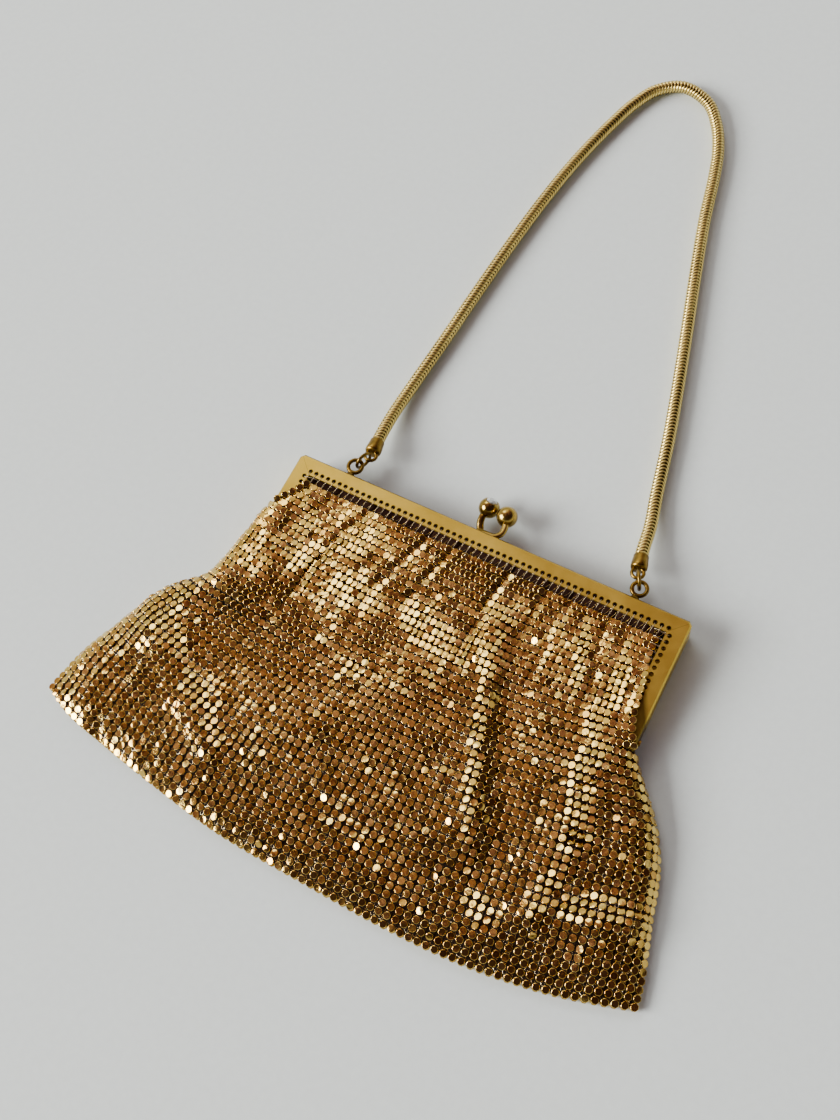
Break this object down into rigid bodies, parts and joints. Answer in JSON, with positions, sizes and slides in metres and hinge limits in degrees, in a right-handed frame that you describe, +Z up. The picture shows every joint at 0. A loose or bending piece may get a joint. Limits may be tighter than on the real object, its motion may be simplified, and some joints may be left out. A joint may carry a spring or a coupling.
{
  "type": "metal mesh purse",
  "caption": "Evening purse with a soft metal mesh body, a wide snap frame with a ball clasp, and a round flexible handle chain.",
  "frame": {"origin": "middle of the bounding box's bottom, on the surface that the purse lies on", "axes": "+X along the frame's bar, -Y from the bar towards the bag's bottom, +Y towards the handle chain, +Z up out of the bag's front"},
  "size_m": [0.2098, 0.3216, 0.0138],
  "materials": {
    "frame_gold": "satin gold plate",
    "mesh_gold": "bright gold plated mesh",
    "chain_brass": "darkened gold plate",
    "pin_brass": "plain",
    "stone": "cut and polished, foiled back",
    "lining": "dark satin"
  },
  "bodies": {
    "root": {"front_frame": "frame_gold", "back_frame": "frame_gold", "clasp_stone": "stone", "hinge_pin_left": "pin_brass", "hinge_pin_right": "pin_brass", "mesh_bag": "mesh_gold", "bag_lining": "lining", "chain_cap_left": "chain_brass", "chain_cap_right": "chain_brass", "link_left": "chain_brass", "link_right": "chain_brass", "snake_chain": "chain_brass"}
  },
  "joints": []
}
